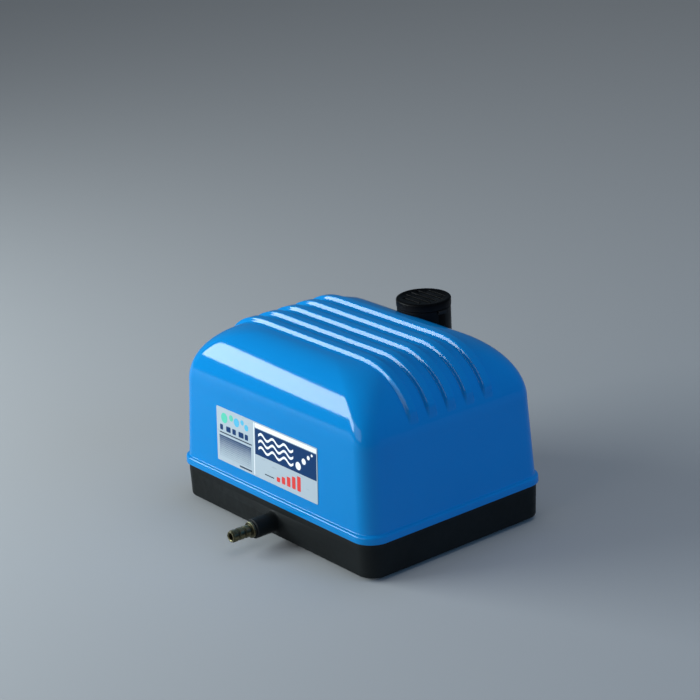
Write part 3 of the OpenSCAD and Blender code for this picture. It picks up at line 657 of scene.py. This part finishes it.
def make_base():
    rings = [base_ring(TRAY_SOFT * (1 - s), TRAY_SOFT * (1 - c)) for s, c in rounding(*QUARTER)]
    rings += [base_ring(0.0, z) for z in np.linspace(TRAY_SOFT, BASE_H - RIM_SOFT, 6)[1:]]
    rings += [base_ring(RIM_SOFT, BASE_H), base_ring(LIP_IN, BASE_H), base_ring(LIP_IN, LIP_Z)]
    rings += [base_ring(TRAY_WALL, LIP_Z), base_ring(TRAY_WALL, TRAY_FLOOR)]
    base = new_piece("base_shell", *loft(rings))
    wall = -BASE_D / 2 + BASE_TAPER
    profile = [(BOSS_FRONT, 0), (BOSS_FRONT, BOSS_R - BOSS_SOFT)]
    for s, c in rounding(30, 60, 90):
        profile.append((BOSS_FRONT + BOSS_SOFT * (1 - c), BOSS_R - BOSS_SOFT + BOSS_SOFT * s))
    for s, c in rounding(*QUARTER[:-1]):
        profile.append((wall - BOSS_ROOT + BOSS_ROOT * s, BOSS_R + BOSS_ROOT * (1 - c)))
    profile += [(wall + BOSS_SINK, BOSS_R + BOSS_ROOT), (wall + BOSS_SINK, 0)]
    boss = lathe("boss", profile, (OUTLET[0], 0, OUTLET[1]), "y", 64)
    carve(base, "UNION", boss)
    for post in corners(COVER_POST):
        carve(base, "UNION", round_bar("post", (*post, POST_FOOT), (*post, BASE_H), POST_R, 48))
    cuts = [bar_along_y(OUTLET, BOSS_FRONT - 1, -BASE_D / 2 + WALL_REACH, STEM_HOLE_R)]
    cuts.append(bar_along_y(GLAND, BASE_D / 2 - WALL_REACH, BASE_D / 2 + WALL_REACH, GLAND_HOLE_R))
    for post, foot in zip(corners(COVER_POST), corners(FOOT_AT)):
        cuts.append(round_bar("cut", (*post, -1), (*post, CLEAR_Z), SCREW_R, 32))
        cuts.append(round_bar("cut", (*post, -1), (*post, SCREW_HEAD_Z), SCREW_HEAD_R, 48))
        cuts.append(round_bar("cut", (*foot, -1), (*foot, PIN_HOLE_TOP), PIN_HOLE_R, 32))
    for cut in cuts:
        carve(base, "DIFFERENCE", cut)
    reshade(base, 40)
    settle(base, "housing", "black_base", MATERIALS["black_base"], "base_tray")


def make_feet():
    """Four pads with a groove in the sole, each with a pin and a catch that hold it in the tray."""
    pad_r, soft, groove, gap = 9.0, 0.7, 0.5, 0.02
    pin_r, catch_z, catch_r = 3.0, 3.02, 4.2
    profile = [(-FOOT, 0), (-FOOT, 5.5), (-FOOT + groove, 6.0), (-FOOT + groove, 7.0), (-FOOT, 7.5)]
    profile += [(-FOOT + soft * (1 - c), pad_r - soft + soft * s) for s, c in rounding(*QUARTER)]
    profile += [(-gap, pad_r), (-gap, pin_r), (catch_z, pin_r), (catch_z, catch_r)]
    profile += [(4.2, 4.0), (5.0, 2.6), (5.0, 0)]
    feet = [lathe("foot", profile, (*foot, 0), "z", 64) for foot in corners(FOOT_AT)]
    settle(joined("foot_pads", feet), "housing", "rubber", MATERIALS["rubber"], "rubber_feet")


# ---- Filter tower ----


def make_tower():
    soft, edge, thick, floor_z = 2.5, 0.4, 2, TOWER_FOOT + 3
    neck_edge, neck_top = NECK_Z + 3.1, NECK_Z + 3.3
    profile = [(TOWER_FOOT, 0)]
    profile += [(TOWER_FOOT + soft * (1 - c), TOWER_R - soft + soft * s) for s, c in rounding(*QUARTER)]
    profile += [(NECK_Z - edge, TOWER_R), (NECK_Z, TOWER_R - edge), (NECK_Z, NECK_R)]
    profile += [(neck_edge, NECK_R), (neck_top, NECK_R - 0.2), (neck_top, NECK_R - thick)]
    profile += [(floor_z, NECK_R - thick), (floor_z, 0)]
    tower = lathe("tower_wall", profile, TOWER_AXIS, "z", 128)
    lug_sink, lug_out, lug_half, lug_h = 1.0, 1.6, 3.5, 2.4
    for side in (-1, 1):
        near, far = side * (TOWER_R - lug_sink), side * (TOWER_R + lug_out)
        low = (TOWER[0] + min(near, far), TOWER[1] - lug_half, NECK_Z - lug_h)
        high = (TOWER[0] + max(near, far), TOWER[1] + lug_half, NECK_Z)
        lug = box_mesh("lug", low, high)
        bevel(lug, 0.5)
        carve(tower, "UNION", lug)
    window_half, window_z, window_top, window_pitch = 11, 8, 11.5, 6
    for i in range(3):
        low = (TOWER[0] - window_half, TOWER[1] - 30, TOWER_FOOT + window_z + window_pitch * i)
        high = (TOWER[0] + window_half, TOWER[1] - 10, TOWER_FOOT + window_top + window_pitch * i)
        carve(tower, "DIFFERENCE", box_mesh("window", low, high))
    reshade(tower, 40)
    settle(tower, "housing", "black_filter", MATERIALS["black_filter"], "filter_tower")


def make_cap():
    """The cap: a raised edge round a slightly sunk grille of five slots."""
    soft, edge, sunk, plate_t = 1.4, 0.4, 0.35, 2.4
    under, inside = CAP_TOP - CAP_H, NECK_R + 0.3
    profile = [(CAP_TOP - sunk, 0), (CAP_TOP - sunk, CAP_R - 3.4), (CAP_TOP - 0.1, CAP_R - 3.0)]
    profile += [(CAP_TOP, CAP_R - 2.6)]
    profile += [(CAP_TOP - soft * (1 - c), CAP_R - soft + soft * s) for s, c in rounding(*QUARTER)]
    profile += [(under + edge, CAP_R), (under, CAP_R - edge), (under, NECK_R + 0.5), (under + 0.2, inside)]
    profile += [(CAP_TOP - plate_t, inside), (CAP_TOP - plate_t, 0)]
    cap = lathe("cap_top", profile, TOWER_AXIS, "z", 128)
    grille_r, slot_pitch, slot_half = 15.0, 6.0, 1
    for i in (-2, -1, 0, 1, 2):
        half = math.sqrt(grille_r**2 - (slot_pitch * i) ** 2)
        y = TOWER[1] + slot_pitch * i
        low = (TOWER[0] - half, y - slot_half, CAP_TOP - 5)
        high = (TOWER[0] + half, y + slot_half, CAP_TOP + 1)
        carve(cap, "DIFFERENCE", box_mesh("slot", low, high))
    reshade(cap, 40)
    bevel(cap, 0.18, 2, 50)
    settle(cap, "filter_cap", "black_filter", MATERIALS["black_filter"], "filter_cap")


# ---- Outlet and cable gland ----


def make_nozzle():
    """The barb: a tip, three ridges, a flange and a stem into the tray, bored right through."""
    tip, flange_front, flange_rear, stem_end = -119.5, BOSS_FRONT - 2.8, BOSS_FRONT - 0.8, -70.0
    bore, stem_r, ridge_r, flange_r, soft = 2.6, 4.0, 4.5, 6.0, 0.4
    first_ridge, ridge_pitch = 0.8, 5.2
    profile = [(tip, bore + 0.5), (tip, 3.7), (tip + 0.35, stem_r)]
    for i in range(3):
        start = tip + first_ridge + ridge_pitch * i
        profile += [(start, stem_r), (start + 0.7, ridge_r), (start + 3.6, ridge_r)]
        profile += [(start + 3.8, 4.3), (start + 3.9, stem_r)]
    profile += [(flange_front - 0.2, stem_r), (flange_front, 4.2)]
    profile += [(flange_front, flange_r - soft), (flange_front + soft, flange_r)]
    profile += [(flange_rear - soft, flange_r), (flange_rear, flange_r - soft), (flange_rear, stem_r)]
    profile += [(stem_end - soft, stem_r), (stem_end, stem_r - soft), (stem_end, bore), (tip + 0.5, bore)]
    nozzle = lathe("brass_barb", profile, (OUTLET[0], 0, OUTLET[1]), "y", 80, 25)
    settle(nozzle, "housing", "dull_brass", MATERIALS["dull_brass"], "outlet_nozzle")


def make_gland():
    """The cable gland: a neck through the wall, a collar, and a fluted dome with an open bore."""
    wall, tip, bore = BASE_D / 2, 92.0, 3.5
    neck_r, collar_r, dome_r, face = 6.0, 9.0, 7.5, wall + 0.02
    dome_z, flute_at, flute_r, flutes = tip - 3, 8.1, 1.1, 12
    profile = [(wall - 12, bore), (wall - 12, 5.7), (wall - 11.7, neck_r), (face, neck_r)]
    profile += [(face, 8.6), (wall + 0.4, collar_r), (wall + 2.6, collar_r), (wall + 3, 8.6)]
    profile += [(wall + 3, dome_r), (dome_z, dome_r)]
    profile += [(dome_z + 3 * s, 5.0 + 2.5 * c) for s, c in rounding(20, 40, 60, 80, 90)]
    profile += [(tip, bore + 0.6), (tip - 0.6, bore)]
    gland = lathe("gland_dome", profile, (GLAND[0], 0, GLAND[1]), "y", 96)
    for i in range(flutes):
        a = 2 * math.pi * i / flutes
        place = (GLAND[0] + flute_at * math.cos(a), GLAND[1] + flute_at * math.sin(a))
        carve(gland, "DIFFERENCE", bar_along_y(place, wall + 3.4, tip + 1, flute_r, 20))
    reshade(gland, 35)
    settle(gland, "housing", "black_base", MATERIALS["black_base"], "cable_gland")


# ---- Label ----

LABEL_X = (-63.7, 55.4)
LABEL_Z = (40.7, 82.3)
LABEL_T, LABEL_GAP = 0.36, 0.02
INK_T, SECOND_INK_T = 0.05, 0.01
LABEL_W = LABEL_X[1] - LABEL_X[0]
LABEL_H = LABEL_Z[1] - LABEL_Z[0]
# The column fills the left of the label; the panel is to its right
COLUMN = 0.38 * LABEL_W
PANEL_LEFT, PANEL_RIGHT = COLUMN + 1.6, LABEL_W - 0.9
TOP_EDGE = 40.8
# Bubbles on the panel and discs in the column: place from its left edge, height, radius
BUBBLES = ((50.5, 22.5, 3.0), (57, 27.6, 2.3), (62.3, 31.8, 1.6), (66.3, 34.6, 1.0))
GREEN_DISCS = ((9.5, 34.2, 3.9), (18.0, 36.2, 2.4))
CYAN_DISCS = ((24.6, 34.6, 3.3), (31.6, 36.4, 2.0), (36.6, 33.8, 2.4))
WAVE_HEIGHTS = (22.3, 27.3, 32.3)
BLOCK_WIDTHS = (5.0, 7.5, 6.0, 8.5, 5.5)


def on_label(u, v, h):
    """A point on the label: u from its left edge, v from its lower edge, h out from the cover's front."""
    up = LABEL_Z[0] - BASE_H + v
    y = -COVER_D / 2 + up * math.sin(LEAN) - h * math.cos(LEAN)
    z = BASE_H + up * math.cos(LEAN) + h * math.sin(LEAN)
    return (LABEL_X[0] + u, y, z)


def prisms(name, outlines, low, high):
    """Flat prisms on the label, one for each outline."""
    points, faces = [], []
    for outline in outlines:
        start, n = len(points), len(outline)
        points += [on_label(u, v, low) for u, v in outline] + [on_label(u, v, high) for u, v in outline]
        for i in range(n):
            j = (i + 1) % n
            faces.append((start + i, start + j, start + n + j, start + n + i))
        faces.append(tuple(start + i for i in range(n - 1, -1, -1)))
        faces.append(tuple(start + n + i for i in range(n)))
    return new_piece(name, points, faces, 30)


def rounded(u0, v0, u1, v1, r, steps=6):
    """A rectangle with rounded corners, as an outline."""
    bends = [(u1 - r, v0 + r, -90), (u1 - r, v1 - r, 0), (u0 + r, v1 - r, 90), (u0 + r, v0 + r, 180)]
    outline = []
    for cu, cv, start in bends:
        for i in range(steps + 1):
            a = math.radians(start + 90 * i / steps)
            outline.append((cu + r * math.cos(a), cv + r * math.sin(a)))
    return outline


def disc(u, v, r, steps=28):
    turns = [2 * math.pi * i / steps for i in range(steps)]
    return [(u + r * math.cos(a), v + r * math.sin(a)) for a in turns]


def wave_line(u0, u1, v, height, waves, half_width, steps=60):
    """A wavy stripe of constant thickness."""
    line = []
    for i in range(steps + 1):
        line.append((u0 + (u1 - u0) * i / steps, v + height * math.sin(2 * math.pi * waves * i / steps)))
    return [(u, w - half_width) for u, w in line] + [(u, w + half_width) for u, w in reversed(line)]


def dot_field():
    """Rows of dots in the column that shrink towards its foot."""
    pitch, rows, columns = 1.5, 11, 26
    left, top, radius = 3.6, 19.6, 0.78
    field = []
    for r in range(rows):
        for c in range(columns):
            field.append(disc(left + pitch * c, top - pitch * r, radius * (1 - r / (rows + 4.0)), 10))
    return field


def make_label():
    """A silver film with printed shapes: a panel with waves and bubbles, a column with discs and dots."""
    plate = prisms("label_plate", [rounded(0, 0, LABEL_W, LABEL_H, 0.8)], LABEL_GAP, LABEL_T)
    settle(plate, "housing", "label_film", MATERIALS["label_film"], "front_label")
    left, right = PANEL_LEFT, PANEL_RIGHT
    white = [rounded(left, 37.6, right, TOP_EDGE, 0.2), rounded(COLUMN, 0.9, COLUMN + 0.7, TOP_EDGE, 0.1)]
    waves = [wave_line(left + 4, left + 45, v, 1.7, 3, 0.95) for v in WAVE_HEIGHTS]
    bubbles = [disc(left + u, v, r) for u, v, r in BUBBLES]
    navy = [rounded(left, 17.2, right, 37.0, 0.2)]
    for i, width in enumerate(BLOCK_WIDTHS):
        u = 4.0 + 7.6 * i
        navy.append(rounded(u, 24.4, u + 0.72 * width, 28.6, 0.7))
    navy += dot_field()
    red = [rounded(left + 25 + 6 * i, 3.6, left + 29 + 6 * i, 7.0 + 1.9 * i, 0.7) for i in range(5)]
    green = [disc(*place) for place in GREEN_DISCS]
    cyan = [disc(*place) for place in CYAN_DISCS]
    dark = [rounded(3.4, 22.0, COLUMN - 2.4, 22.9, 0.2), rounded(COLUMN - 18, 1.6, COLUMN - 3, 2.8, 0.2)]
    dark.append(rounded(left + 11, 4.4, left + 22, 5.2, 0.2))
    first, second = LABEL_T + INK_T, LABEL_T + INK_T + SECOND_INK_T
    layers = [
        ("label_navy", navy, "ink_navy", LABEL_T, first),
        ("label_white", white, "ink_white", LABEL_T, first),
        ("label_waves", waves + bubbles, "ink_white", first, second),
        ("label_red", red, "ink_red", LABEL_T, first),
        ("label_emblem_green", green, "ink_green", LABEL_T, first),
        ("label_emblem_cyan", cyan, "ink_cyan", LABEL_T, first),
        ("label_lines", dark, "ink_dark", LABEL_T, first),
    ]
    for name, outlines, ink, low, high in layers:
        settle(prisms(name, outlines, low, high), "housing", "label_film", MATERIALS[ink])


# ---- Diaphragms ----

HEAD_Z = 74.0
DIAPHRAGM_X, DIAPHRAGM_T = 43.1, 1.8
WEB_R, ROLL_IN, ROLL_OUT, ROLL_H, RIM_R = 2.3, 13.0, 17.4, 3.2, 27.0
ROLL_EDGE = 0.4
SECTORS, SECTOR_STEPS, ROLL_STEPS = 8, 9, 12


def roll_section():
    """The rolled part of a diaphragm in section, as (radius, distance from its inner face) pairs."""
    middle, half = (ROLL_IN + ROLL_OUT) / 2, (ROLL_OUT - ROLL_IN) / 2
    turns = [math.pi * i / ROLL_STEPS for i in range(ROLL_STEPS + 1)]
    inner = [(middle - half * math.cos(u), ROLL_H * math.sin(u)) for u in turns]
    outer = [(middle - (half + ROLL_EDGE) * math.cos(u), DIAPHRAGM_T + ROLL_H * math.sin(u)) for u in turns]
    return inner + outer[::-1]


def make_diaphragm(name, side):
    """The web rides on the arm, the rim stays put, and the roll between them is made in sectors."""
    node, arm, material = f"diaphragm_{name}", f"arm_{name}", MATERIALS["rubber"]
    inside, outside = side * DIAPHRAGM_X, side * (DIAPHRAGM_X + DIAPHRAGM_T)
    web = [(inside, WEB_R), (inside, ROLL_IN), (outside, ROLL_IN - ROLL_EDGE), (outside, WEB_R)]
    rim = [(inside, ROLL_OUT), (inside, RIM_R), (outside, RIM_R), (outside, ROLL_OUT + ROLL_EDGE)]
    settle(lathe(f"diaphragm_web_{name}", web, (0, 0, HEAD_Z), "x"), arm, "rubber", material, node)
    settle(lathe(f"diaphragm_rim_{name}", rim, (0, 0, HEAD_Z), "x"), "housing", "rubber", material, node)
    section, width = roll_section(), 2 * math.pi / SECTORS
    for k in range(SECTORS):
        rings = []
        for i in range(SECTOR_STEPS + 1):
            a = width * (k + i / SECTOR_STEPS)
            s, c = math.sin(a), math.cos(a)
            rings.append([(inside + side * t, r * c, HEAD_Z + r * s) for r, t in section])
        piece = new_piece(f"diaphragm_roll_{name}_{k + 1}", *loft(rings), 50)
        piece.data.materials.append(material)
        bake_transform(piece)
        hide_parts(node)


# ---- CAD nodes that stay ----

WELD_AT, EDGE_WIDTH, EDGE_ANGLE = 0.002, 0.25, 40


def finish_cad_nodes():
    """Every shown CAD node gets its slot's material, welded faces and softened edges."""
    slot_of = {entry["node"]: entry["material_slot"] for entry in RECORD["subparts"]}
    for name, node in NODES.items():
        if node.hide_render:
            continue
        node.data.materials.clear()
        node.data.materials.append(MATERIALS[slot_of[name]])
        welded = node.modifiers.new("weld", "WELD")
        welded.merge_threshold = WELD_AT * MM
        soft = node.modifiers.new("soft", "BEVEL")
        soft.width = EDGE_WIDTH * MM
        soft.segments = 2
        soft.limit_method = "ANGLE"
        soft.angle_limit = math.radians(EDGE_ANGLE)


# ---- Stage, lights and camera ----


def make_stage():
    mesh = bpy.data.meshes.new("floor")
    half = 12.0
    square = [(-half, -half, 0), (half, -half, 0), (half, half, 0), (-half, half, 0)]
    mesh.from_pydata(square, [], [(0, 1, 2, 3)])
    floor = bpy.data.objects.new("floor", mesh)
    bpy.context.scene.collection.objects.link(floor)
    pale = Shader("pale_floor", (0.36, 0.365, 0.37), 0.6, Specular_IOR_Level=0.0)
    mesh.materials.append(pale.material)


# The lights face the middle of the pump, this high in metres; the sky lights the rest
LIT_AT = 0.08
SKY, SKY_STRENGTH = (0.6, 0.8, 1.0, 1), 0.14


def softbox(name, direction, distance, size, power, colour=(1, 1, 1), roll=0.0, mirrored=True):
    """A rectangular light that faces the pump. roll turns it about its own axis, in degrees.

    A light that isn't mirrored still lights the pump, but no glossy surface shows it.
    """
    target = Vector((0, 0, LIT_AT))
    out = Vector(direction).normalized()
    level = Vector((-out.y, out.x, 0)).normalized()
    rise = out.cross(level)
    turn = math.radians(roll)
    across = level * math.cos(turn) + rise * math.sin(turn)
    light = bpy.data.lights.new(name, "AREA")
    light.shape = "RECTANGLE"
    light.size, light.size_y = size
    light.energy = power
    light.color = colour
    lamp = bpy.data.objects.new(name, light)
    facing = Matrix((across, out.cross(across), out)).transposed().to_4x4()
    lamp.matrix_world = Matrix.Translation(target + out * distance) @ facing
    lamp.visible_glossy = mirrored
    bpy.context.scene.collection.objects.link(lamp)


def make_lights():
    softbox("key", (-0.620, -0.712, 0.333), 1.25, (1.04, 0.42), 22.0, (0.86, 0.96, 1.0), roll=-9.0)
    softbox("front_fill", (0.0, -1.0, 0.3), 2.5, (1.5, 1.1), 12.0)
    softbox("overhead", (0.1, 0.2, 1.0), 4.0, (4.0, 4.0), 55.0, mirrored=False)
    softbox("right_fill", (1.0, 0.3, 0.35), 2.0, (1.5, 1.5), 15.0, (0.25, 0.55, 1.0), mirrored=False)
    world = bpy.data.worlds.new("studio")
    world.use_nodes = True
    background = world.node_tree.nodes["Background"]
    background.inputs["Color"].default_value = SKY
    background.inputs["Strength"].default_value = SKY_STRENGTH
    bpy.context.scene.world = world


def set_tones():
    """Plain display tones, so that the saturated blue keeps its strength."""
    bpy.context.scene.view_settings.view_transform = "Standard"


def make_camera():
    """A view from the front right and a little above, with a slight roll. Distances are in metres."""
    azimuth, elevation, roll = (math.radians(a) for a in (52.23, 19.67, 3.08))
    distance, lens, aim_z = 1.582, 111.74, 0.0775
    side_shift, up_shift = 0.0041, 0.0422
    level = math.cos(elevation)
    back = Vector((math.sin(azimuth) * level, -math.cos(azimuth) * level, math.sin(elevation)))
    right = Vector((math.cos(azimuth), math.sin(azimuth), 0))
    up = back.cross(right)
    cam_x = right * math.cos(roll) - up * math.sin(roll)
    cam_y = right * math.sin(roll) + up * math.cos(roll)
    target = Vector((0, BODY_Y * MM, aim_z))
    place = target + back * distance - cam_x * side_shift + cam_y * up_shift
    data = bpy.data.cameras.new("camera")
    data.lens = lens
    data.sensor_width = 36.0
    data.clip_start, data.clip_end = 0.05, 60.0
    camera = bpy.data.objects.new("camera", data)
    camera.matrix_world = Matrix.Translation(place) @ Matrix((cam_x, cam_y, back)).transposed().to_4x4()
    bpy.context.scene.collection.objects.link(camera)
    bpy.context.scene.camera = camera


make_camera()
set_tones()
make_stage()
make_lights()
make_cover()
make_base()
make_feet()
make_tower()
make_cap()
make_nozzle()
make_gland()
make_label()
make_diaphragm("left", -1)
make_diaphragm("right", 1)
finish_cad_nodes()
